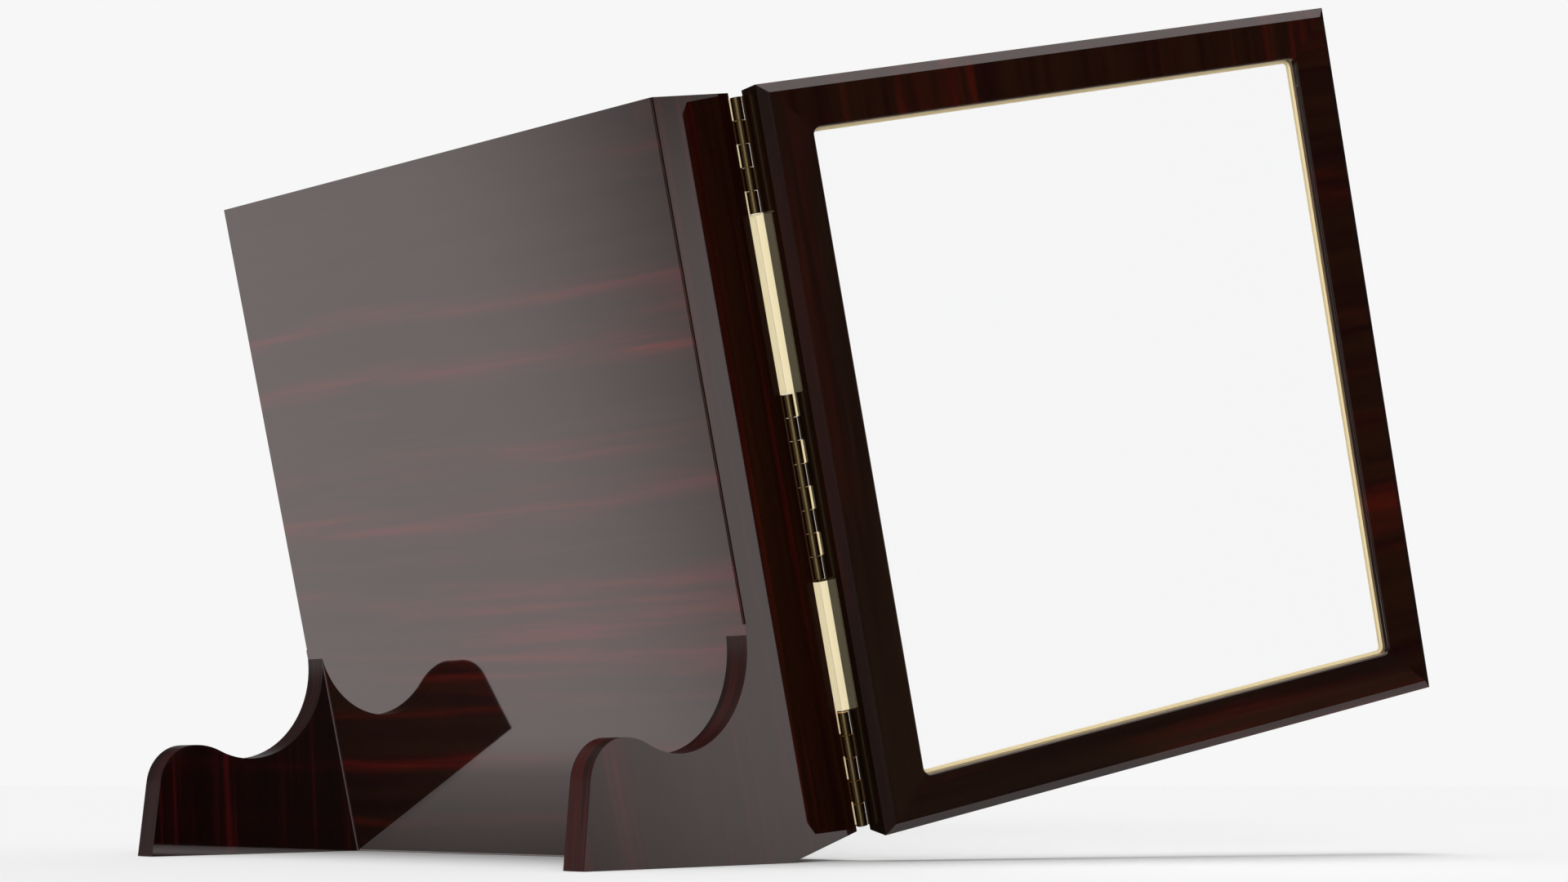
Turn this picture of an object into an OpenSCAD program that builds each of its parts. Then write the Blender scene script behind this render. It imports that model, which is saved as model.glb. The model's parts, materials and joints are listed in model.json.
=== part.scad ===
// Hinged display case for a folded flag.
// A shallow cabinet that leans back on two side boards, whose sawn outline runs on behind the case as scroll feet,
// closed by a glazed door on a full-height stop hinge.
// Case axes before the lean: X across, -Y to the front, Z up the boards; the back plane is Y = 0.

/* [Case] */
// Width over the side boards
case_w = 360; // [260:1:460]
// Height of the case along its leaning back
case_h = 406; // [380:1:520]
// Depth of the case, front edge to back face
case_d = 62; // [50:0.5:90]
// Thickness of the side, top and bottom boards
board_t = 14; // [13:0.5:19]
// Thickness of the back panel
back_t = 6; // [4:0.5:9]
// Thickness of the felt-covered backing board
lining_t = 2.5; // [1.5:0.5:4]
// Round on the outer back corners
edge_r = 1.2; // [0.6:0.1:2]
// Angle the case leans back
lean = 15.6; // [12:0.1:20]
// Depth trimmed flat off the corner that stands on the floor
heel = 1.35; // [1:0.05:1.6]

/* [Feet] */
// Radius of the large hollow between the back and the foot
scoop_r = 53; // [48:0.5:56]
// Height along the back where the hollow runs out
scoop_top = 129.2; // [124:0.1:136]
// How far the hollow bites past the back plane
scoop_bite = 0.3; // [0.2:0.05:0.5]
// Height of the foot's crown above the floor
crown_h = 63.5; // [60:0.5:66]
// Radius of the crown
crown_r = 40; // [36:0.5:46]
// Radius of the nose
nose_r = 23; // [19:0.5:26]
// Reach of the nose behind the case's bottom corner
nose_reach = 147; // [144:0.5:150]
// Rake of the toe line from upright
toe_rake = 5; // [2:0.5:9]

/* [Door] */
// Thickness of the door frame
door_t = 25; // [22:0.5:28]
// Width of the rails and stiles
rail_w = 27; // [24:0.5:34]
// Width of the bevel round the door's front
bevel_w = 5.5; // [3:0.5:8]
// Depth of the bevel
bevel_d = 4.5; // [3:0.5:7]
// Thickness of wood in front of the glazing rebate
lip_t = 7; // [7:0.5:9]
// Width of the glazing rebate
rebate_w = 10.5; // [9:0.5:12]
// Corner radius of the window
window_r = 4; // [3:0.5:6]
// Round on the window's front edge
lip_r = 1.2; // [0.5:0.1:2]
// Thickness of the glass
glass_t = 3; // [2:0.5:4]
// Depth of the wooden glazing beads
bead_d = 5; // [3:0.5:8]
// Distance the beads stand back from the window's edge
bead_in = 4.5; // [3:0.5:6]
// Angle of the open door from closed
open_angle = 119.5; // [95:0.5:130]
// Closed gap between the case and the door
door_gap = 2; // [1.8:0.1:3]

/* [Window liner] */
// Thickness of the brass strip
liner_t = 1.6; // [1:0.1:2]
// How far the strip's edge stands back from the door's front
liner_set = 6; // [4:0.1:6.5]
// Thickness of the flange behind the lip
flange_t = 1; // [0.6:0.1:1.5]

/* [Hinge] */
// Distance from each end of the hinge to the end of the case
hinge_in = 3; // [1:0.5:10]
// Pitch of the knuckles
knuckle_p = 12.7; // [11:0.1:14]
// Outer radius of the knuckles
knuckle_r = 3; // [2.6:0.1:3.1]
// Radius of the hinge pins
pin_r = 1.2; // [1:0.05:1.5]
// Running clearance between pin and knuckle
pin_fit = 0.05; // [0.03:0.01:0.08]
// Clearance between neighbouring knuckles
knuckle_gap = 0.3; // [0.2:0.05:0.5]
// Distance of the pin from the case's side
pin_out = 3.7; // [3.6:0.1:5]
// Thickness of the leaves
leaf_t = 1.2; // [1:0.1:1.3]
// Width of the leaves on the wood
leaf_w = 12; // [11:0.5:13]
// Depth the leaves are let into the wood
leaf_let = 0.4; // [0.2:0.05:0.6]
// Knuckles in the top and bottom groups
end_knuckles = 5; // [3:2:7]
// Knuckles in the middle group
mid_knuckles = 8; // [6:2:8]
// Length of the upper plain stretch
plain_top = 97.8; // [70:0.1:110]
// Gap between the two leaves' stop edges
stop_gap = 0.3; // [0.2:0.05:0.5]
// Length of pin that shows below the middle group
pin_show = 1.6; // [0:0.1:3]

/* [Fastenings] */
// Screws in each leaf
leaf_screws = 8; // [6:1:10]
// Radius of the screw heads
screw_head_r = 2.6; // [2.2:0.1:3]
// Radius of the screw shanks
screw_r = 1.3; // [1:0.1:1.5]
// Length of the screws
screw_len = 11; // [8:0.5:13]
// Radius of the dowels in the case corners
dowel_r = 3; // [2:0.5:4]
// Depth of each dowel in a side board
dowel_in = 9; // [6:0.5:10]
// Depth of each dowel in a top or bottom board
dowel_out = 21; // [12:0.5:26]
// Radius of the magnet catches
magnet_r = 4; // [3:0.5:5]
// Depth of the magnet catches
magnet_d = 6; // [4:0.5:10]
// Distance of the magnet catches from the case's top and bottom
magnet_in = 70; // [50:1:120]
// Thickness of the strike plates
strike_t = 1.4; // [1:0.1:1.5]

/* [Hidden] */
$fn = 64;
eps = 0.01;
fit = 0.1;
heel_y = heel * (1 / tan(lean) - tan(lean)) / 2;
inner_w = case_w - 2 * board_t;
inner_h = case_h - 2 * board_t;
win_w = case_w - 2 * rail_w;
win_h = case_h - 2 * rail_w;
hinge_x = -case_w / 2 - pin_out;
hinge_y = -case_d - door_gap / 2;
hinge_z = hinge_in;
hinge_len = case_h - 2 * hinge_in;
mid_len = mid_knuckles * knuckle_p;
end_len = end_knuckles * knuckle_p;
mid_z = hinge_z + hinge_len - end_len - plain_top - mid_len;
top_z = hinge_z + hinge_len - end_len;
door_y = -case_d - door_gap;
glass_y = door_y - door_t + lip_t + flange_t;
bead_y = glass_y + glass_t;
rebate_x = case_w / 2 - rail_w + rebate_w;
rebate_z = case_h / 2 - rail_w + rebate_w;
bead_w = rebate_w - bead_in;
foot_c = [scoop_r - scoop_bite, scoop_top];
scoop_c = [foot_c[0] * cos(lean) + foot_c[1] * sin(lean), foot_c[1] * cos(lean) - foot_c[0] * sin(lean)];
crown_z = crown_h + heel - crown_r;
crown_c = [scoop_c[0] + sqrt(pow(scoop_r + crown_r, 2) - pow(scoop_c[1] - crown_z, 2)), crown_z];
nose_y = nose_reach - nose_r;
nose_c = [nose_y, crown_z + sqrt(pow(crown_r - nose_r, 2) - pow(nose_y - crown_c[0], 2))];
toe_c = nose_c + nose_r * [cos(toe_rake), sin(toe_rake)];
toe_y = toe_c[0] + toe_c[1] * tan(toe_rake);
tip_c = [scoop_top * sin(lean), scoop_top * cos(lean)];
wood = "#2a0d08";
brass = "#c9a75a";

// Leans the case back on its heel, with the middle of the heel strip at the origin.
module case_place() {
    translate([0, heel_y, -heel]) rotate([-lean, 0, 0]) children();
}

// Swings the door open about the hinge pin, in the case's axes.
module door_place() {
    case_place()
        translate([hinge_x, hinge_y, 0]) rotate([0, 0, -open_angle]) translate([-hinge_x, -hinge_y, 0])
            children();
}

// Half space above the floor, over everything the case reaches.
module above_floor() {
    translate([-case_w, -case_h, 0]) cube([2 * case_w, 2 * case_h, 2 * case_h]);
}

// Outline of the foot behind the case, from tangent arcs; origin at the untrimmed bottom corner.
module foot_outline() {
    crown_dir = (nose_c - crown_c) / norm(nose_c - crown_c);
    hollow_dir = (scoop_c - crown_c) / norm(scoop_c - crown_c);
    difference() {
        union() {
            polygon([[0, 0], [toe_y, 0], toe_c, nose_c, crown_c, scoop_c, tip_c]);
            translate(nose_c) circle(nose_r);
            intersection() {
                translate(crown_c) circle(crown_r);
                polygon([
                    crown_c, crown_c + 2 * crown_r * crown_dir, crown_c + [0, 3 * crown_r],
                    crown_c + 2 * crown_r * hollow_dir
                ]);
            }
        }
        translate(scoop_c) circle(scoop_r);
    }
}

// Outline of a side board with its foot.
module side_outline() {
    foot_outline();
    rotate([0, 0, -lean]) translate([-case_d, 0]) square([case_d, case_h]);
}

// Waste outside a quarter round on the outer back corner of a side board.
module corner_waste(side) {
    translate([side * (case_w / 2 - edge_r), -edge_r, scoop_top])
        difference() {
            translate([side > 0 ? 0 : -2 * edge_r, 0, 0]) cube([2 * edge_r, 2 * edge_r, case_h]);
            translate([0, 0, -1]) cylinder(r = edge_r, h = case_h + 2);
        }
}

// Dowels of one side, in the case's axes; grow widens and lengthens them for their holes.
module dowel_set(side, grow) {
    for (z = [board_t / 2, case_h - board_t / 2])
        for (y = [-case_d * 0.3, -case_d * 0.75])
            translate([side * (case_w / 2 - board_t + dowel_in + grow), y, z])
                rotate([0, -side * 90, 0])
                    cylinder(r = dowel_r + grow / 2, h = dowel_in + dowel_out + 2 * grow);
}

module side_board(side) {
    color(wood) difference() {
        intersection() {
            translate([side > 0 ? case_w / 2 - board_t : -case_w / 2, heel_y, -heel])
                rotate([90, 0, 90]) linear_extrude(board_t) side_outline();
            above_floor();
        }
        case_place() {
            corner_waste(side);
            dowel_set(side, fit);
            if (side < 0) case_leaf_seat();
            if (side < 0) screw_set(0, fit);
            if (side > 0) magnet_set(fit);
        }
    }
}

module side_board_hinge() {
    side_board(-1);
}

module side_board_free() {
    side_board(1);
}

module top_board() {
    color(wood) case_place() difference() {
        translate([-inner_w / 2, -case_d, case_h - board_t]) cube([inner_w, case_d, board_t]);
        dowel_set(1, fit);
        dowel_set(-1, fit);
    }
}

module bottom_board() {
    color(wood) case_place() difference() {
        translate([-inner_w / 2, -case_d, 0]) cube([inner_w, case_d - back_t, board_t]);
        dowel_set(1, fit);
        dowel_set(-1, fit);
    }
}

module back_panel() {
    color(wood) intersection() {
        case_place() translate([-inner_w / 2, -back_t, 0]) cube([inner_w, back_t, case_h - board_t]);
        above_floor();
    }
}

module back_lining() {
    color("#20242e") case_place()
        translate([-inner_w / 2 + fit, -back_t - lining_t, board_t + fit])
            cube([inner_w - 2 * fit, lining_t, inner_h - 2 * fit]);
}

module case_dowels() {
    color("#c8a878") case_place() {
        dowel_set(1, 0);
        dowel_set(-1, 0);
    }
}

// Magnets in the front edge of the free side board; grow makes their holes.
module magnet_set(grow) {
    for (z = [magnet_in, case_h - magnet_in])
        translate([case_w / 2 - board_t / 2, -case_d + magnet_d + grow, z])
            rotate([90, 0, 0]) cylinder(r = magnet_r + grow / 2, h = magnet_d + grow + (grow > 0 ? 1 : 0));
}

module magnet_catches() {
    color("silver") case_place() magnet_set(0);
}

// Bottom and top of every stretch of the hinge, and which leaf carries knuckle k of a group.
function knuckle_z(base, k) = base + k * knuckle_p + knuckle_gap / 2;
function group_base(g) = g == 0 ? hinge_z : g == 1 ? mid_z : top_z;
function group_count(g) = g == 1 ? mid_knuckles : end_knuckles;
function on_case(g, k) = (k % 2 == 0) == (g != 1 || mid_knuckles % 2 == 0);

// One leaf in the closed position; side 0 is the case's, 1 the door's, mirrored about the pin's plane.
module leaf(side) {
    flip = side == 0 ? 1 : -1;
    difference() {
        union() {
            // plate on the wood, cut back just clear of the other leaf's knuckles
            leaf_plate(flip, hinge_x + knuckle_r + knuckle_gap, hinge_z, hinge_len);
            // plain stretches that butt edge to edge as the stop
            for (s = [[hinge_z + end_len, mid_z - hinge_z - end_len], [mid_z + mid_len, plain_top]])
                leaf_stop(flip, s[0] + knuckle_gap / 2, s[1] - knuckle_gap);
            // knuckles
            for (g = [0:2])
                for (k = [0:group_count(g) - 1])
                    if (on_case(g, k) == (side == 0)) {
                        leaf_plate(flip, hinge_x, knuckle_z(group_base(g), k), knuckle_p - knuckle_gap);
                        translate([hinge_x, hinge_y, knuckle_z(group_base(g), k)])
                            cylinder(r = knuckle_r, h = knuckle_p - knuckle_gap);
                    }
        }
        for (g = [0:2])
            translate([hinge_x, hinge_y, group_base(g) - (g == 1 ? pin_show : 0) - 1])
                cylinder(r = pin_r + (side == 0 ? 0.02 : pin_fit),
                    h = group_count(g) * knuckle_p + (g == 1 ? pin_show : 0) + 2);
        screw_set(side, fit);
    }
}

// Strip of leaf from x0 to the leaf's inner edge.
module leaf_plate(flip, x0, z0, h) {
    face = hinge_y + flip * (door_gap / 2 + leaf_let);
    translate([x0, flip > 0 ? face - leaf_t : face, z0])
        cube([-case_w / 2 + leaf_w - x0, leaf_t, h]);
}

// Strip whose outer edge is cut back to the stop plane through the pin.
module leaf_stop(flip, z0, h) {
    half = open_angle / 2;
    a = door_gap / 2 + leaf_let;
    b = a - leaf_t;
    gap = stop_gap / 2 / sin(half);
    translate([hinge_x, hinge_y, z0]) mirror([0, flip > 0 ? 0 : 1, 0]) linear_extrude(h)
        polygon([
            [pin_out + leaf_w, a], [pin_out + leaf_w, b], [gap - b / tan(half), b], [gap - a / tan(half), a]
        ]);
}

// Seat for the case's leaf in the hinge-side board.
module case_leaf_seat() {
    translate([-case_w / 2 - 1, -case_d - 1, hinge_z - fit])
        cube([leaf_w + 1 + fit, 1 + leaf_let, hinge_len + 2 * fit]);
}

// Seat for the door's leaf, on the closed door.
module door_leaf_seat() {
    translate([-case_w / 2 - 1, door_y - leaf_let, hinge_z - fit])
        cube([leaf_w + 1 + fit, 1 + leaf_let, hinge_len + 2 * fit]);
}

// Countersunk screws through one leaf; grow makes their holes.
module screw_set(side, grow) {
    flip = side == 0 ? 1 : -1;
    step = (hinge_len - 30) / (leaf_screws - 1);
    top = hinge_y + flip * (door_gap / 2 + leaf_let - leaf_t);
    for (i = [0:leaf_screws - 1])
        translate([-case_w / 2 + leaf_w / 2 + 0.5, top, hinge_z + 15 + i * step])
            rotate([-90 * flip, 0, 0]) {
                cylinder(r1 = screw_head_r + grow / 2, r2 = screw_r + grow / 2, h = screw_head_r - screw_r);
                cylinder(r = screw_r + grow / 2, h = screw_len + grow);
                if (grow > 0) translate([0, 0, -1]) cylinder(r = screw_head_r + grow / 2, h = 1 + eps);
            }
}

module hinge_leaf_case() {
    color(brass) case_place() leaf(0);
}

module hinge_leaf_door() {
    color(brass) door_place() leaf(1);
}

module leaf_screws_case() {
    color(brass) case_place() screw_set(0, 0);
}

module leaf_screws_door() {
    color(brass) door_place() screw_set(1, 0);
}

module hinge_pin(g, low) {
    color(brass) case_place()
        translate([hinge_x, hinge_y, group_base(g) + knuckle_gap / 2 - low])
            cylinder(r = pin_r, h = group_count(g) * knuckle_p - knuckle_gap + low);
}

module pin_top() {
    hinge_pin(2, 0);
}

module pin_middle() {
    hinge_pin(1, pin_show);
}

module pin_bottom() {
    hinge_pin(0, 0);
}

// Closed door's frame as one block: bevelled outside, window and glazing rebate cut out.
module door_block() {
    front = door_y - door_t;
    difference() {
        intersection() {
            linear_extrude(case_h)
                polygon([
                    [-case_w / 2, door_y], [case_w / 2, door_y], [case_w / 2, front + bevel_d],
                    [case_w / 2 - bevel_w, front], [-case_w / 2 + bevel_w, front],
                    [-case_w / 2, front + bevel_d]
                ]);
            translate([-case_w / 2, 0, 0]) rotate([90, 0, 90]) linear_extrude(case_w)
                polygon([
                    [door_y, 0], [door_y, case_h], [front + bevel_d, case_h], [front, case_h - bevel_w],
                    [front, bevel_w], [front + bevel_d, 0]
                ]);
        }
        // window with round corners
        translate([0, door_y + 1, case_h / 2]) rotate([90, 0, 0]) linear_extrude(door_t + 2)
            round_rect(win_w, win_h, window_r);
        // glazing rebate from the inside
        translate([-rebate_x, front + lip_t, case_h / 2 - rebate_z])
            cube([2 * rebate_x, door_t, 2 * rebate_z]);
        // round on the window's front edge
        translate([0, 0, case_h / 2]) lip_round();
    }
}

// Rectangle with quarter-circle corners, centred.
module round_rect(w, h, r) {
    square([w - 2 * r, h], center = true);
    square([w, h - 2 * r], center = true);
    for (x = [-1, 1])
        for (z = [-1, 1])
            translate([x * (w / 2 - r), z * (h / 2 - r)]) circle(r);
}

// Waste of the quarter round along the window's front edge, about the window's centre.
module lip_round() {
    front = door_y - door_t;
    for (s = [-1, 1]) {
        translate([s * win_w / 2, front, -win_h / 2 + window_r]) linear_extrude(win_h - 2 * window_r)
            lip_waste(s);
        translate([0, 0, s * win_h / 2]) rotate([0, 90, 0]) translate([0, front, -win_w / 2 + window_r])
            linear_extrude(win_w - 2 * window_r) lip_waste(-s);
        for (t = [-1, 1])
            translate([s * (win_w / 2 - window_r), front, t * (win_h / 2 - window_r)])
                rotate([0, s > 0 ? (t > 0 ? 0 : 90) : (t > 0 ? 270 : 180), 0]) rotate([-90, 0, 0])
                    rotate([0, 0, -90]) rotate_extrude(angle = 90) translate([window_r, 0]) lip_waste(1);
    }
}

// Corner square less its inscribed quarter disc; s is the side the wood lies on.
module lip_waste(s) {
    difference() {
        translate([s > 0 ? -0.01 : -lip_r, -0.01]) square([lip_r + 0.01, lip_r + 0.01]);
        translate([s * lip_r, lip_r]) circle(lip_r);
    }
}

// Mitred quarter of the door for a rail or stile: 0 hinge, 1 free, 2 top, 3 bottom.
module mitre_zone(part) {
    w = case_w / 2;
    h = case_h;
    m = w;
    shape = part == 0 ? [[-w - 1, -1], [-w - 1, h + 1], [0, h - m], [0, m]]
        : part == 1 ? [[w + 1, h + 1], [w + 1, -1], [0, m], [0, h - m]]
        : part == 2 ? [[-w - 1, h + 1], [w + 1, h + 1], [0, h - m]]
        : [[-w - 1, -1], [w + 1, -1], [0, m]];
    translate([0, door_y + 10, 0]) rotate([90, 0, 0]) linear_extrude(door_t + 20) polygon(shape);
}

module door_part(part) {
    color(wood) door_place() difference() {
        intersection() {
            door_block();
            mitre_zone(part);
        }
        if (part != 1) door_leaf_seat();
        if (part != 1) screw_set(1, fit);
    }
}

module door_stile_hinge() {
    door_part(0);
}

module door_stile_free() {
    door_part(1);
}

module door_rail_top() {
    door_part(2);
}

module door_rail_bottom() {
    door_part(3);
}

// Brass fillet round the window: an edge strip in the opening and a flange behind the lip.
module window_liner() {
    front = door_y - door_t;
    color(brass) door_place() translate([0, 0, case_h / 2]) difference() {
        union() {
            translate([0, front + lip_t + flange_t, 0]) rotate([90, 0, 0])
                linear_extrude(lip_t + flange_t - liner_set) round_rect(win_w, win_h, window_r);
            translate([-rebate_x + fit, front + lip_t, -rebate_z + fit])
                cube([2 * rebate_x - 2 * fit, flange_t, 2 * rebate_z - 2 * fit]);
        }
        translate([0, front + lip_t + flange_t + 1, 0]) rotate([90, 0, 0])
            linear_extrude(lip_t + flange_t + 2)
                round_rect(win_w - 2 * liner_t, win_h - 2 * liner_t, window_r - liner_t);
    }
}

module glass_pane() {
    color([0.85, 0.9, 0.9, 0.25]) door_place()
        translate([-rebate_x + fit, glass_y, case_h / 2 - rebate_z + fit])
            cube([2 * rebate_x - 2 * fit, glass_t, 2 * rebate_z - 2 * fit]);
}

// Wooden bead that holds the glass, mitred like the door.
module bead(part) {
    color(wood) door_place() intersection() {
        difference() {
            translate([-rebate_x + fit, bead_y, case_h / 2 - rebate_z + fit])
                cube([2 * rebate_x - 2 * fit, bead_d, 2 * rebate_z - 2 * fit]);
            translate([-rebate_x + bead_w, bead_y - 1, case_h / 2 - rebate_z + bead_w])
                cube([2 * rebate_x - 2 * bead_w, bead_d + 2, 2 * rebate_z - 2 * bead_w]);
        }
        mitre_zone(part);
    }
}

module bead_hinge() {
    bead(0);
}

module bead_free() {
    bead(1);
}

module bead_top() {
    bead(2);
}

module bead_bottom() {
    bead(3);
}

// Steel discs on the door that meet the magnets.
module strike_plates() {
    color("silver") door_place()
        for (z = [magnet_in, case_h - magnet_in])
            translate([case_w / 2 - board_t / 2, door_y + strike_t, z])
                rotate([90, 0, 0]) cylinder(r = magnet_r + 1, h = strike_t);
}

side_board_hinge();
side_board_free();
top_board();
bottom_board();
back_panel();
back_lining();
case_dowels();
hinge_leaf_case();
leaf_screws_case();
pin_top();
pin_middle();
pin_bottom();
magnet_catches();
door_stile_hinge();
door_stile_free();
door_rail_top();
door_rail_bottom();
window_liner();
glass_pane();
bead_top();
bead_bottom();
bead_hinge();
bead_free();
hinge_leaf_door();
leaf_screws_door();
strike_plates();
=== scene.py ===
import bpy, json, math
from mathutils import Euler, Matrix, Vector

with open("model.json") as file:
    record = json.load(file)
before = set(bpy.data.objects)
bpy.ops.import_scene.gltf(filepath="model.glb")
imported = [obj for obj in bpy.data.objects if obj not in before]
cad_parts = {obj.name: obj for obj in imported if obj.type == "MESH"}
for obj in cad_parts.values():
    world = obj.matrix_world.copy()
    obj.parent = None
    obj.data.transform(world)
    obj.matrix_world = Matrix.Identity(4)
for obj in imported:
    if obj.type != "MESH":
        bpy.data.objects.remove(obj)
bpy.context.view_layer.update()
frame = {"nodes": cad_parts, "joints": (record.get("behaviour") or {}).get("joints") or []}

nodes = frame["nodes"]
print("frame loaded,", len(nodes), "nodes")
bpy.ops.object.select_all(action="DESELECT")

# how the case stands, how far its door is open and how far the pin stands out; they follow the model
stance = {"leanDeg": 15.6, "openDeg": 119.5, "caseHeight": 0.406, "pinOut": 0.0037}
caseTurn = (math.radians(stance["leanDeg"]), 0, 0)
doorTurn = (math.radians(stance["leanDeg"]), 0, math.radians(stance["openDeg"]))
# the hinge pin along the case's own axes and along the door's
pinPoint = Vector(frame["joints"][0]["pos_m"])
pinCase = Euler(caseTurn, "XYZ").to_matrix() @ pinPoint
pinDoor = Euler(doorTurn, "XYZ").to_matrix() @ pinPoint


# helpers for node trees
def grey(level):
    return (level, level, level)


def setInputs(node, values):
    for socketName, value in values.items():
        node.inputs[socketName].default_value = value


def feed(tree, socket, value):
    # link another node's output, or set a plain value
    if hasattr(value, "is_linked"):
        tree.links.new(value, socket)
    elif value is not None:
        socket.default_value = (*value, 1) if isinstance(value, tuple) else value


def newMaterial(name):
    mat = bpy.data.materials.new(name)
    mat.use_nodes = True
    tree = mat.node_tree
    tree.nodes.clear()
    out = tree.nodes.new("ShaderNodeOutputMaterial")
    shader = tree.nodes.new("ShaderNodeBsdfPrincipled")
    tree.links.new(shader.outputs[0], out.inputs[0])
    return mat, tree, shader


def surfaceSocket(tree):
    return [node for node in tree.nodes if node.type == "OUTPUT_MATERIAL"][0].inputs[0]


def alignedCoords(tree, turn):
    # coordinates that stand upright with the case or lie along the door
    coord = tree.nodes.new("ShaderNodeTexCoord")
    node = tree.nodes.new("ShaderNodeMapping")
    node.inputs["Rotation"].default_value = turn
    tree.links.new(coord.outputs["Object"], node.inputs["Vector"])
    return node.outputs[0]


def patternCoords(tree, turn, scale, shift=(0, 0, 0)):
    node = tree.nodes.new("ShaderNodeMapping")
    setInputs(node, {"Scale": scale, "Location": shift})
    tree.links.new(alignedCoords(tree, turn), node.inputs["Vector"])
    return node.outputs[0]


def axesOf(tree, vector):
    node = tree.nodes.new("ShaderNodeSeparateXYZ")
    tree.links.new(vector, node.inputs[0])
    return node.outputs


def noise(tree, vector, scale, detail, rough, distort=0.0):
    node = tree.nodes.new("ShaderNodeTexNoise")
    setInputs(node, {"Scale": scale, "Detail": detail, "Roughness": rough, "Distortion": distort})
    tree.links.new(vector, node.inputs["Vector"])
    return node.outputs["Fac"]


def ramp(tree, fac, stops, interpolation="LINEAR"):
    node = tree.nodes.new("ShaderNodeValToRGB")
    node.color_ramp.interpolation = interpolation
    while len(node.color_ramp.elements) < len(stops):
        node.color_ramp.elements.new(0.5)
    for element, (place, colour) in zip(node.color_ramp.elements, stops):
        element.position = place
        element.color = (*colour, 1)
    tree.links.new(fac, node.inputs[0])
    return node.outputs[0]


def twoTones(tree, fac, low, high):
    return ramp(tree, fac, [(0.3, low), (0.7, high)])


def wornTone(tree, wear, colour, darkest):
    # a colour, and a darker share of it where the wear is low
    return twoTones(tree, wear, tuple(c * darkest for c in colour), colour)


def mixColour(tree, fac, a, b, blend="MIX"):
    node = tree.nodes.new("ShaderNodeMix")
    node.data_type = "RGBA"
    node.blend_type = blend
    for index, value in ((0, fac), (6, a), (7, b)):
        feed(tree, node.inputs[index], value)
    return node.outputs[2]


def mixShaders(tree, fac, first, second):
    node = tree.nodes.new("ShaderNodeMixShader")
    for socket, value in zip(node.inputs, (fac, first, second)):
        feed(tree, socket, value)
    return node.outputs[0]


def calc(tree, op, a, b=None):
    node = tree.nodes.new("ShaderNodeMath")
    node.operation = op
    feed(tree, node.inputs[0], a)
    feed(tree, node.inputs[1], b)
    return node.outputs[0]


def mapRange(tree, value, reach, result=(0.0, 1.0), interpolation="LINEAR"):
    node = tree.nodes.new("ShaderNodeMapRange")
    node.interpolation_type = interpolation
    setInputs(node, {"From Min": reach[0], "From Max": reach[1], "To Min": result[0], "To Max": result[1]})
    tree.links.new(value, node.inputs["Value"])
    return node.outputs[0]


def bump(tree, height, strength, distance, shader):
    node = tree.nodes.new("ShaderNodeBump")
    setInputs(node, {"Strength": strength, "Distance": distance})
    tree.links.new(height, node.inputs["Height"])
    tree.links.new(node.outputs[0], shader.inputs["Normal"])


def unevenRoughness(tree, pattern, roughness, shader):
    # from somewhat smoother than the given roughness to somewhat rougher
    level = mapRange(tree, pattern, (0.0, 1.0), (roughness * 0.6, roughness * 1.5))
    tree.links.new(level, shader.inputs["Roughness"])


def paint(name, material):
    mesh = nodes[name].data
    mesh.materials.clear()
    mesh.materials.append(material)


# the gloss, and the tones of the wood under it
gloss = {"ior": 2.1, "roughness": 0.03, "tint": (1.0, 0.885, 0.88), "ripple": 0.02, "rippleDepth": 0.002,
         "rippleScale": (14.0, 14.0, 14.0)}
redBrown = {"ground": (0.0072, 0.0012, 0.0009), "brown": (0.0130, 0.0040, 0.0014),
            "streak": (0.105, 0.0052, 0.0032), "rim": (0.040, 0.0055, 0.0042),
            "rimDark": (0.011, 0.0042, 0.0030)}
crimson = {"ground": (0.0026, 0.0005, 0.0004), "brown": (0.0070, 0.0011, 0.0008),
           "streak": (0.060, 0.0030, 0.0045), "rim": (0.028, 0.0040, 0.0034),
           "rimDark": (0.009, 0.0028, 0.0026)}
umber = {"ground": (0.0076, 0.0028, 0.0017), "brown": (0.0130, 0.0062, 0.0032),
         "streak": (0.095, 0.0060, 0.0046)}
# how close the grain lies across and along the board, and how far a band of the veneer strays in height
grain = {"fineAcross": 95.0, "fineAlong": 3.2, "wideAcross": 24.0, "wideAlong": 2.1,
         "stray": 0.05, "strayScale": (3.0, 3.0, 9.0)}


def bandMask(tree, turn, look):
    # reddish bands of the veneer that run the whole width, a little wavy
    wave = noise(tree, patternCoords(tree, turn, grain["strayScale"], look["shift"]), 1.0, 3.0, 0.5)
    offset = calc(tree, "MULTIPLY", calc(tree, "SUBTRACT", wave, 0.5), grain["stray"])
    height = calc(tree, "ADD", axesOf(tree, alignedCoords(tree, turn))["Z"], offset)
    stops = [(0.0, grey(0))]
    for bandHeight, half, level in sorted(look["bands"]):
        middle, reach = bandHeight / stance["caseHeight"], half / stance["caseHeight"]
        stops += [(middle - reach, grey(0)), (middle, grey(level)), (middle + reach, grey(0))]
    return ramp(tree, calc(tree, "DIVIDE", height, stance["caseHeight"]), stops)


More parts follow.
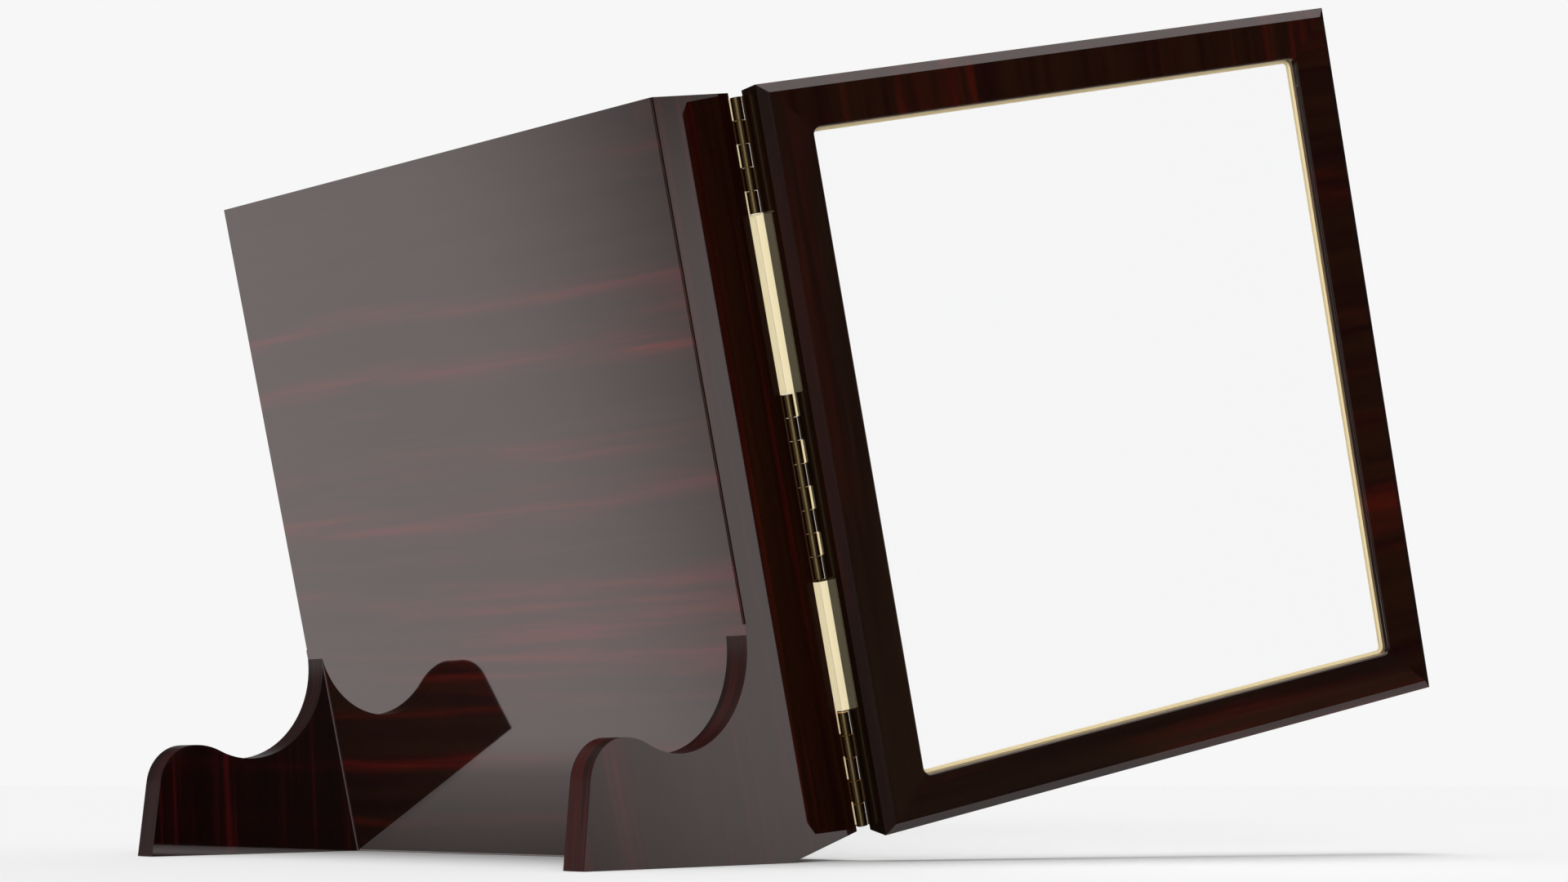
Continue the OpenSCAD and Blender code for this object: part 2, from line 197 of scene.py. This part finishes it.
def woodColour(tree, turn, look):
    # the grain runs across the case where a look's "along" is 0, and up it where it is 2
    tone = look.get("tone", redBrown)
    fine = [grain["fineAcross"]] * 3
    fine[look["along"]] = grain["fineAlong"]
    wide = [grain["wideAcross"] * look["broad"]] * 3
    wide[look["along"]] = grain["wideAlong"]
    fineVec = patternCoords(tree, turn, fine, look["shift"])
    wideVec = patternCoords(tree, turn, wide, tuple(s * 0.7 for s in look["shift"]))
    ground = ramp(tree, noise(tree, fineVec, 1.0, 5.0, 0.6, 0.3),
                  [(0.35, tone["ground"]), (0.62, tone["brown"])])
    band = ramp(tree, noise(tree, wideVec, 1.0, 6.0, 0.62, 0.6),
                [(0.53, grey(0)), (0.66, grey(0.55)), (0.78, grey(1))])
    line = ramp(tree, noise(tree, fineVec, 1.9, 3.0, 0.5, 0.2), [(0.42, grey(0.25)), (0.6, grey(1))])
    if "bands" in look:
        band = mixColour(tree, 1.0, band, bandMask(tree, turn, look), "ADD")
    amount = mixColour(tree, 1.0, band, line, "MULTIPLY")
    return mixColour(tree, calc(tree, "MULTIPLY", amount, look["streakiness"]), ground, tone["streak"])


def lacquerFinish(tree, shader, turn):
    # a deep gloss with a faint ripple and a little haze
    vec = patternCoords(tree, turn, gloss["rippleScale"])
    bump(tree, noise(tree, vec, 1.0, 2.0, 0.4), gloss["ripple"], gloss["rippleDepth"], shader)
    unevenRoughness(tree, noise(tree, vec, 6.0, 4.0, 0.6), gloss["roughness"], shader)
    setInputs(shader, {"IOR": gloss["ior"], "Specular Tint": (*gloss["tint"], 1)})


def dullPart(tree, colour, mask, ior, roughness):
    # wood with a weaker or softer gloss where the mask is 1
    dull = tree.nodes.new("ShaderNodeBsdfPrincipled")
    tree.links.new(colour, dull.inputs["Base Color"])
    setInputs(dull, {"IOR": ior, "Roughness": roughness})
    surface = surfaceSocket(tree)
    glossy = surface.links[0].from_socket
    tree.links.new(mixShaders(tree, mask, glossy, dull.outputs[0]), surface)


def lacquerWood(name, turn, look):
    mat, tree, shader = newMaterial(name)
    tree.links.new(woodColour(tree, turn, look), shader.inputs["Base Color"])
    lacquerFinish(tree, shader, turn)
    return mat


# back panel; a band is its height up the case, its half width and its strength
backPanel = {"along": 0, "shift": (3.1, 7.7, 2.35), "streakiness": 0.8, "broad": 1.0,
             "bands": [(0.314, 0.007, 0.8), (0.279, 0.008, 0.75), (0.207, 0.010, 0.65),
                       (0.158, 0.009, 0.5), (0.120, 0.005, 0.25), (0.108, 0.005, 0.35),
                       (0.085, 0.005, 0.5), (0.052, 0.007, 0.8), (0.015, 0.004, 0.4)]}
paint("back_panel", lacquerWood("backPanelWood", caseTurn, backPanel))

# top and bottom boards
topBoard = {"along": 0, "shift": (2.2, 5.3, 1.9), "streakiness": 1.0, "broad": 1.0}
bottomBoard = {"along": 0, "shift": (6.4, 2.6, 8.1), "streakiness": 1.0, "broad": 1.0}
paint("top_board", lacquerWood("topBoardWood", caseTurn, topBoard))
paint("bottom_board", lacquerWood("bottomBoardWood", caseTurn, bottomBoard))

# side boards: the height where the feet end, the painted highlight line at the back panel and the sawn rim
# of the feet
sideBoards = {"footTop": 0.1175, "paintedLineDepth": (0.0020, 0.0034), "paintedLineColour": (0.13, 0.10, 0.10),
              "rimGrain": (420.0, 9.0, 9.0), "rimIor": 1.55, "rimRoughness": 0.38}
sideBoardHinge = {"along": 2, "shift": (1.7, 4.2, 0.6), "streakiness": 0.6, "broad": 4.5, "grainDeg": 15.6}
sideBoardFree = {"along": 2, "shift": (5.2, 1.1, 3.3), "streakiness": 1.0, "broad": 4.2, "grainDeg": 5.0,
                 "tone": crimson}
# a strip of the hinge's board beside the hinge with hardly any gloss and darker, less streaky wood: a
# painted dark reflection
paintedDarkStrip = {"along": 2, "shift": (0.3, 6.1, 2.2), "streakiness": 0.22, "broad": 2.6, "ior": 1.1,
               "fade": (-0.0500, -0.0515)}
# limits of a face's normal: at least so much to the rear or inwards, at most so much sideways or forwards
facingLimit = {"rear": 0.7, "inwards": 0.9, "sideways": 0.5, "forwards": 0.3}


def sideBoardWood(name, look, strip=None):
    mat, tree, shader = newMaterial(name)
    lacquerFinish(tree, shader, caseTurn)
    tone = look.get("tone", redBrown)
    geometry = tree.nodes.new("ShaderNodeNewGeometry")
    facing = axesOf(tree, geometry.outputs["True Normal"])
    coord = tree.nodes.new("ShaderNodeTexCoord")
    place = axesOf(tree, coord.outputs["Object"])
    depth = axesOf(tree, alignedCoords(tree, caseTurn))["Y"]
    # upright grain on the board, the back panel's level grain on its back edge above the foot
    upright = woodColour(tree, (math.radians(look["grainDeg"]), 0, 0), look)
    level = woodColour(tree, caseTurn, backPanel)
    onBack = calc(tree, "MULTIPLY", calc(tree, "GREATER_THAN", facing["Y"], facingLimit["rear"]),
                  calc(tree, "GREATER_THAN", place["Z"], sideBoards["footTop"]))
    wood = mixColour(tree, onBack, upright, level)
    # a thin pale line where the free board's inner face meets the back panel: a painted highlight
    paintedLineFrom, paintedLineTo = sideBoards["paintedLineDepth"]
    inner = calc(tree, "MULTIPLY", calc(tree, "LESS_THAN", facing["X"], -facingLimit["inwards"]),
                 calc(tree, "GREATER_THAN", place["X"], 0.0))
    line = calc(tree, "MULTIPLY", calc(tree, "GREATER_THAN", depth, paintedLineFrom),
                calc(tree, "LESS_THAN", depth, paintedLineTo))
    withPaintedLine = mixColour(tree, calc(tree, "MULTIPLY", inner, line), wood, sideBoards["paintedLineColour"])
    tree.links.new(withPaintedLine, shader.inputs["Base Color"])
    # painted dark reflection: a strip of duller, darker wood beside the hinge
    if strip:
        edge = mapRange(tree, depth, strip["fade"])
        dullPart(tree, woodColour(tree, caseTurn, strip), edge, strip["ior"], gloss["roughness"])
    # the foot's narrow edge is sawn and only oiled, so its gloss is soft
    narrow = calc(tree, "LESS_THAN", calc(tree, "ABSOLUTE", facing["X"]), facingLimit["sideways"])
    foot = calc(tree, "MULTIPLY", calc(tree, "LESS_THAN", place["Z"], sideBoards["footTop"]),
                calc(tree, "GREATER_THAN", facing["Y"], -facingLimit["forwards"]))
    layers = noise(tree, patternCoords(tree, caseTurn, sideBoards["rimGrain"], look["shift"]), 1.0, 4.0, 0.6)
    rimWood = ramp(tree, layers, [(0.42, tone["rimDark"]), (0.62, tone["rim"])])
    dullPart(tree, rimWood, calc(tree, "MULTIPLY", narrow, foot), sideBoards["rimIor"],
             sideBoards["rimRoughness"])
    return mat


paint("side_board_hinge", sideBoardWood("sideBoardHingeWood", sideBoardHinge, paintedDarkStrip))
paint("side_board_free", sideBoardWood("sideBoardFreeWood", sideBoardFree))

# hinge stile; its hinge edge, as far from the pin as the case's side, has less gloss than its front
stileHinge = {"along": 2, "shift": (0.4, 3.3, 5.1), "streakiness": 0.22, "broad": 1.3, "tone": umber,
              "edgeIor": 1.25, "edgeMargin": 0.0003}


def stileHingeWood(name, turn, look):
    mat, tree, shader = newMaterial(name)
    wood = woodColour(tree, turn, look)
    tree.links.new(wood, shader.inputs["Base Color"])
    lacquerFinish(tree, shader, turn)
    edgeAt = pinDoor.x + stance["pinOut"] + look["edgeMargin"]
    edge = calc(tree, "LESS_THAN", axesOf(tree, alignedCoords(tree, turn))["X"], edgeAt)
    dullPart(tree, wood, edge, look["edgeIor"], gloss["roughness"])
    return mat


paint("door_stile_hinge", stileHingeWood("stileHingeWood", doorTurn, stileHinge))

# the rest of the door frame, and the beads that hold the pane
stileFree = {"along": 0, "shift": (7.7, 0.9, 2.8), "streakiness": 0.5, "broad": 1.0}
railTop = {"along": 2, "shift": (9.1, 6.2, 4.4), "streakiness": 0.75, "broad": 1.3}
railBottom = {"along": 0, "shift": (4.9, 8.3, 7.2), "streakiness": 0.4, "broad": 1.0, "tone": umber}
paint("door_stile_free", lacquerWood("stileFreeWood", doorTurn, stileFree))
paint("door_rail_top", lacquerWood("railTopWood", doorTurn, railTop))
paint("door_rail_bottom", lacquerWood("railBottomWood", doorTurn, railBottom))
beads = {"shift": (3.3, 2.1, 1.2), "streakiness": 0.4, "broad": 1.0}
for side, along in (("top", 0), ("bottom", 0), ("hinge", 2), ("free", 2)):
    beadName = "bead" + side.capitalize() + "Wood"
    paint("bead_" + side, lacquerWood(beadName, doorTurn, dict(beads, along=along)))
print("wood set")

# pins and screws
brass = {"colour": (0.84, 0.67, 0.33), "darkest": 0.86, "roughness": 0.2, "wear": (400.0, 400.0, 60.0),
         "scratch": 0.03, "scratchDepth": 0.0002}


def brassMaterial(name, turn):
    mat, tree, shader = newMaterial(name)
    wear = noise(tree, patternCoords(tree, turn, brass["wear"]), 1.0, 3.0, 0.5)
    tree.links.new(wornTone(tree, wear, brass["colour"], brass["darkest"]), shader.inputs["Base Color"])
    unevenRoughness(tree, wear, brass["roughness"], shader)
    setInputs(shader, {"Metallic": 1.0})
    bump(tree, wear, brass["scratch"], brass["scratchDepth"], shader)
    return mat


for group in ("top", "middle", "bottom"):
    paint("pin_" + group, brassMaterial("pin" + group.capitalize() + "Brass", caseTurn))
paint("leaf_screws_case", brassMaterial("screwCaseBrass", caseTurn))
paint("leaf_screws_door", brassMaterial("screwDoorBrass", doorTurn))

# hinge; its lengths run up the case and follow the model
# the hinge's near-white satin is a painted highlight on the flats, and its dark aged brass is painted shade
# on the leaves outside them
hinge = {"bottom": 0.0023, "length": 0.400, "pitch": 0.0127, "endKnuckles": 5, "midKnuckles": 8,
         "plainTop": 0.0978, "pinShows": 0.0016, "barrelRadius": 0.00302, "woodMargin": 0.0004,
         "barrel": (0.85, 0.62, 0.28), "barrelRoughness": 0.24, "barrelTint": (1.0, 0.8, 0.45),
         "satinHighlight": (1.0, 0.87, 0.55), "satinHighlightDarkest": 0.97, "satinHighlightRoughness": 0.42,
         "paintedShade": (0.05, 0.03, 0.013), "paintedShadeDarkest": 0.8, "paintedShadeRoughness": 0.6}
endLength = hinge["endKnuckles"] * hinge["pitch"]
midLength = hinge["midKnuckles"] * hinge["pitch"]
topBase = hinge["bottom"] + hinge["length"] - endLength
midBase = topBase - hinge["plainTop"] - midLength
plainStretches = [(hinge["bottom"] + endLength, midBase - hinge["pinShows"]), (midBase + midLength, topBase)]


def flatsBeside(base, knuckles, first):
    # stretches beside every second knuckle of a group
    return [(base + k * hinge["pitch"], base + (k + 1) * hinge["pitch"]) for k in range(first, knuckles, 2)]


# the painted highlight stays on the flats beside the case's knuckles, the odd ones, in the end groups, and
# the door's in the middle
caseFlats = flatsBeside(hinge["bottom"], hinge["endKnuckles"], 0)
caseFlats += flatsBeside(topBase, hinge["endKnuckles"], 0)
doorFlats = flatsBeside(midBase, hinge["midKnuckles"], 1)


def heightMask(tree, height, stretches):
    # 1 inside the given stretches up the case
    stops = [(0.0, grey(0))]
    for low, high in stretches:
        stops += [(low / stance["caseHeight"], grey(1)), (high / stance["caseHeight"], grey(0))]
    return ramp(tree, calc(tree, "DIVIDE", height, stance["caseHeight"]), stops, "CONSTANT")


def hingeBrass(name, turn, pin, flats):
    # polished leaf inside the wood; outside it polished barrels, satin flats with a painted highlight, and
    # dark brass between them as painted shade
    mat, tree, polished = newMaterial(name)
    wear = noise(tree, patternCoords(tree, turn, brass["wear"]), 1.0, 3.0, 0.5)
    place = axesOf(tree, alignedCoords(tree, turn))
    dx = calc(tree, "SUBTRACT", place["X"], pin.x)
    dy = calc(tree, "SUBTRACT", place["Y"], pin.y)
    squares = calc(tree, "ADD", calc(tree, "MULTIPLY", dx, dx), calc(tree, "MULTIPLY", dy, dy))
    flat = calc(tree, "GREATER_THAN", calc(tree, "SQRT", squares), hinge["barrelRadius"])
    inside = calc(tree, "GREATER_THAN", place["X"], pin.x + stance["pinOut"] + hinge["woodMargin"])
    outside = calc(tree, "SUBTRACT", 1.0, inside)
    barrel = wornTone(tree, wear, hinge["barrel"], brass["darkest"])
    leaf = wornTone(tree, wear, brass["colour"], brass["darkest"])
    tree.links.new(mixColour(tree, inside, barrel, leaf), polished.inputs["Base Color"])
    setInputs(polished, {"Metallic": 1.0, "Roughness": hinge["barrelRoughness"],
                         "Specular Tint": (*hinge["barrelTint"], 1)})
    # painted shade: dark brass without gloss on the leaves outside the barrels and lit flats
    paintedShade = tree.nodes.new("ShaderNodeBsdfPrincipled")
    tree.links.new(wornTone(tree, wear, hinge["paintedShade"], hinge["paintedShadeDarkest"]), paintedShade.inputs["Base Color"])
    setInputs(paintedShade, {"Roughness": hinge["paintedShadeRoughness"], "Specular IOR Level": 0.0})
    # painted highlight: near-white satin brass on the chosen flats
    satinHighlight = tree.nodes.new("ShaderNodeBsdfPrincipled")
    tree.links.new(wornTone(tree, wear, hinge["satinHighlight"], hinge["satinHighlightDarkest"]), satinHighlight.inputs["Base Color"])
    setInputs(satinHighlight, {"Roughness": hinge["satinHighlightRoughness"]})
    ownFlats = calc(tree, "MULTIPLY", flat, heightMask(tree, place["Z"], flats))
    lit = calc(tree, "MAXIMUM", ownFlats, heightMask(tree, place["Z"], plainStretches))
    polishedOrShade = mixShaders(tree, calc(tree, "MULTIPLY", flat, outside), polished.outputs[0], paintedShade.outputs[0])
    whole = mixShaders(tree, calc(tree, "MULTIPLY", lit, outside), polishedOrShade, satinHighlight.outputs[0])
    tree.links.new(whole, surfaceSocket(tree))
    return mat


paint("hinge_leaf_case", hingeBrass("leafCaseBrass", caseTurn, pinCase, caseFlats))
paint("hinge_leaf_door", hingeBrass("leafDoorBrass", doorTurn, pinDoor, doorFlats))

# satin brass liner of the window
liner = {"colour": (1.0, 0.82, 0.48), "darkest": 0.97, "metallic": 0.1, "roughness": 0.42}


def linerBrass(name):
    mat, tree, shader = newMaterial(name)
    wear = noise(tree, patternCoords(tree, doorTurn, (300.0, 300.0, 30.0)), 1.0, 3.0, 0.5)
    tree.links.new(wornTone(tree, wear, liner["colour"], liner["darkest"]), shader.inputs["Base Color"])
    setInputs(shader, {"Metallic": liner["metallic"], "Roughness": liner["roughness"]})
    return mat


paint("window_liner", linerBrass("linerBrass"))

# thin clear pane
pane = {"tint": (0.995, 1.0, 0.998), "ior": 1.18}


def paneGlass(name):
    mat, tree, shader = newMaterial(name)
    cloud = noise(tree, patternCoords(tree, doorTurn, (9.0, 9.0, 9.0)), 1.0, 1.0, 0.4)
    tree.links.new(twoTones(tree, cloud, pane["tint"], grey(1.0)), shader.inputs["Base Color"])
    setInputs(shader, {"Transmission Weight": 1.0, "Roughness": 0.0, "IOR": pane["ior"]})
    return mat


paint("glass_pane", paneGlass("paneGlass"))

# dark felt of the backing board
felt = {"dark": (0.007, 0.009, 0.016), "light": (0.020, 0.025, 0.042), "roughness": 0.95,
        "sheen": 0.4, "sheenRoughness": 0.5, "nap": 0.5, "napDepth": 0.0006}


def backingFelt(name):
    mat, tree, shader = newMaterial(name)
    fibre = noise(tree, patternCoords(tree, caseTurn, (900.0, 900.0, 900.0)), 1.0, 5.0, 0.7, 0.8)
    patch = noise(tree, patternCoords(tree, caseTurn, (12.0, 12.0, 12.0), (4, 2, 9)), 1.0, 3.0, 0.5)
    shade = twoTones(tree, fibre, felt["dark"], felt["light"])
    soft = twoTones(tree, patch, grey(0.8), grey(1.1))
    tree.links.new(mixColour(tree, 1.0, shade, soft, "MULTIPLY"), shader.inputs["Base Color"])
    setInputs(shader, {"Roughness": felt["roughness"], "Sheen Weight": felt["sheen"],
                       "Sheen Roughness": felt["sheenRoughness"]})
    bump(tree, fibre, felt["nap"], felt["napDepth"], shader)
    return mat


paint("back_lining", backingFelt("backingFelt"))

# bare wood of the dowels
dowels = {"dark": (0.42, 0.25, 0.12), "light": (0.60, 0.40, 0.22), "roughness": 0.6}


def dowelWood(name):
    mat, tree, shader = newMaterial(name)
    fibre = noise(tree, patternCoords(tree, caseTurn, (40.0, 400.0, 400.0)), 1.0, 4.0, 0.6)
    tree.links.new(twoTones(tree, fibre, dowels["dark"], dowels["light"]), shader.inputs["Base Color"])
    setInputs(shader, {"Roughness": dowels["roughness"]})
    return mat


paint("case_dowels", dowelWood("dowelWood"))

# magnets and strike plates
steel = {"dark": 0.5, "light": 0.66, "roughness": 0.28}


def catchSteel(name):
    mat, tree, shader = newMaterial(name)
    wear = noise(tree, patternCoords(tree, caseTurn, (500.0, 500.0, 500.0)), 1.0, 3.0, 0.5)
    shade = twoTones(tree, wear, grey(steel["dark"]), grey(steel["light"]))
    tree.links.new(shade, shader.inputs["Base Color"])
    setInputs(shader, {"Metallic": 1.0, "Roughness": steel["roughness"]})
    return mat


paint("magnet_catches", catchSteel("magnetSteel"))
paint("strike_plates", catchSteel("strikeSteel"))
print("metal, glass and felt set")

# studio floor
floorPaper = {"low": 0.928, "high": 0.932, "size": 60, "level": -0.0002}


def paperMaterial(name):
    mat, tree, shader = newMaterial(name)
    cloud = noise(tree, patternCoords(tree, (0, 0, 0), (3.0, 3.0, 3.0)), 1.0, 2.0, 0.4)
    tone = twoTones(tree, cloud, grey(floorPaper["low"]), grey(floorPaper["high"]))
    tree.links.new(tone, shader.inputs["Base Color"])
    setInputs(shader, {"Roughness": 1.0, "Specular IOR Level": 0.0})
    return mat, tree, shader


bpy.ops.mesh.primitive_plane_add(size=floorPaper["size"], location=(0, 0, floorPaper["level"]))
floor = bpy.context.object
floor.name = "studioFloor"
floor.visible_glossy = False
floor.visible_transmission = False
floor.data.materials.append(paperMaterial("floorPaper")[0])

# the strip of floor between the feet, which only a first reflection sees; it fades out away from the panel
floorStrip = {"middleY": 0.0795, "level": -0.0001, "width": 0.332, "length": 0.151, "fade": (0.085, 0.150)}


def stripMaterial(name):
    mat, tree, shader = paperMaterial(name)
    depth = axesOf(tree, alignedCoords(tree, (0, 0, 0)))["Y"]
    fade = mapRange(tree, depth, floorStrip["fade"], (1.0, 0.0), "SMOOTHSTEP")
    rays = tree.nodes.new("ShaderNodeLightPath")
    first = calc(tree, "LESS_THAN", rays.outputs["Glossy Depth"], 1.5)
    clear = tree.nodes.new("ShaderNodeBsdfTransparent")
    amount = calc(tree, "MULTIPLY", fade, first)
    tree.links.new(mixShaders(tree, amount, clear.outputs[0], shader.outputs[0]), surfaceSocket(tree))
    return mat


bpy.ops.mesh.primitive_plane_add(size=1, location=(0, 0, 0))
between = bpy.context.object
between.name = "floorBetweenFeet"
stripSize = Matrix.Diagonal((floorStrip["width"], floorStrip["length"], 1, 1))
stripPlace = Matrix.Translation((0, floorStrip["middleY"], floorStrip["level"]))
between.data.transform(stripPlace @ stripSize)
for flag in ("visible_camera", "visible_diffuse", "visible_shadow", "visible_transmission"):
    setattr(between, flag, False)
between.data.materials.append(stripMaterial("floorStrip"))
print("floor set")

# light of the studio; white is what the camera sees, fill is what lights the object
studio = {"white": 0.93, "fill": 0.34, "darkest": 0.010}
# soft windows that only the gloss shows: direction, inner and outer half angle, brightness
windows = {"ceiling": ((-0.15, 0.0, 1.0), 30, 58, 0.76),
           "frontRight": ((0.57, -0.70, 0.42), 10, 26, 0.6),
           "frontLeft": ((-0.612, -0.781, 0.122), 3.5, 15.5, 0.56),
           "rearLeft": ((-0.57, 0.79, -0.22), 10, 26, 0.25),
           "below": ((-0.1, -0.5, -0.85), 20, 50, 0.28),
           "farRight": ((0.75, 0.6, 0.15), 28, 50, 0.115),
           "rear": ((-0.07, 0.95, -0.28), 6, 20, 0.055)}
# bright floor low on the right: where it begins and is full, sideways, downwards and to the rear
lowRight = {"alongX": 0.766, "alongY": -0.643, "sideways": (-0.06, 0.14), "downwards": (-0.03, 0.06),
            "rearwards": (0.1, 0.4)}

world = bpy.data.worlds.new("studioWorld")
bpy.context.scene.world = world
world.use_nodes = True
sky = world.node_tree
sky.nodes.clear()
worldOut = sky.nodes.new("ShaderNodeOutputWorld")
background = sky.nodes.new("ShaderNodeBackground")
sky.links.new(background.outputs[0], worldOut.inputs[0])
skyDirection = sky.nodes.new("ShaderNodeTexCoord").outputs["Generated"]
skyAxes = axesOf(sky, skyDirection)


def softStep(value, reach, top=1.0):
    return mapRange(sky, value, reach, (0.0, top), "SMOOTHSTEP")


glow = studio["darkest"]
for direction, inner, outer, level in windows.values():
    dot = sky.nodes.new("ShaderNodeVectorMath")
    dot.operation = "DOT_PRODUCT"
    dot.inputs[1].default_value = Vector(direction).normalized()
    sky.links.new(skyDirection, dot.inputs[0])
    reach = (math.cos(math.radians(outer)), math.cos(math.radians(inner)))
    glow = calc(sky, "MAXIMUM", glow, softStep(dot.outputs["Value"], reach, level))
sideways = calc(sky, "ADD", calc(sky, "MULTIPLY", skyAxes["X"], lowRight["alongX"]),
                calc(sky, "MULTIPLY", skyAxes["Y"], lowRight["alongY"]))
downwards = calc(sky, "MULTIPLY", skyAxes["Z"], -1.0)
brightFloor = calc(sky, "MULTIPLY", softStep(sideways, lowRight["sideways"]),
                   softStep(downwards, lowRight["downwards"]))
brightFloor = calc(sky, "MULTIPLY", brightFloor, softStep(skyAxes["Y"], lowRight["rearwards"]))
mirrorSky = mixColour(sky, calc(sky, "MAXIMUM", glow, brightFloor), grey(0.0), grey(1.0))

# the pane shows the white ground, but not to a reflection that passes through it
rays = sky.nodes.new("ShaderNodeLightPath")
direct = calc(sky, "LESS_THAN", rays.outputs["Glossy Depth"], 0.5)
through = calc(sky, "MULTIPLY", rays.outputs["Is Transmission Ray"], direct)
seen = calc(sky, "MAXIMUM", rays.outputs["Is Camera Ray"], through)
mirrored = calc(sky, "MAXIMUM", rays.outputs["Is Glossy Ray"], rays.outputs["Is Transmission Ray"])
unseen = mixColour(sky, mirrored, grey(studio["fill"]), mirrorSky)
sky.links.new(mixColour(sky, seen, unseen, grey(studio["white"])), background.inputs["Color"])

# one soft light from above, one low from the rear left: direction, strength and spread in degrees
# the gloss takes its light from the world alone
lamps = {"softTop": ((-0.05, 0.10, 1.0), 1.60, 26), "softSide": ((-0.60, 0.75, 0.10), 2.9, 44)}
for lampName, (direction, strength, spread) in lamps.items():
    bpy.ops.object.light_add(type="SUN", location=(0, 0, 2))
    lamp = bpy.context.object
    lamp.name = lampName
    lamp.data.energy = strength
    lamp.data.angle = math.radians(spread)
    lamp.rotation_euler = Vector(direction).to_track_quat("Z", "Y").to_euler()
    lamp.visible_glossy = False
print("light set")

# camera; its focal length is in pixels of a frame 1920 wide
shot = {"place": (-0.94382, 0.923096, 0.041429), "yaw": 0.6938, "pitch": 0.1513,
        "focalPixels": 2746.9, "frameWidth": 1920, "sensorWidth": 36, "clipStart": 0.01}
forward = Vector((math.sin(shot["yaw"]) * math.cos(shot["pitch"]),
                  -math.cos(shot["yaw"]) * math.cos(shot["pitch"]), math.sin(shot["pitch"])))
bpy.ops.object.camera_add(location=shot["place"])
camera = bpy.context.object
camera.name = "studioCamera"
camera.rotation_euler = forward.to_track_quat("-Z", "Y").to_euler()
camera.data.sensor_width = shot["sensorWidth"]
camera.data.lens = shot["focalPixels"] / shot["frameWidth"] * shot["sensorWidth"]
camera.data.clip_start = shot["clipStart"]
bpy.context.scene.camera = camera
bpy.context.scene.view_settings.view_transform = "Standard"
print("camera set")
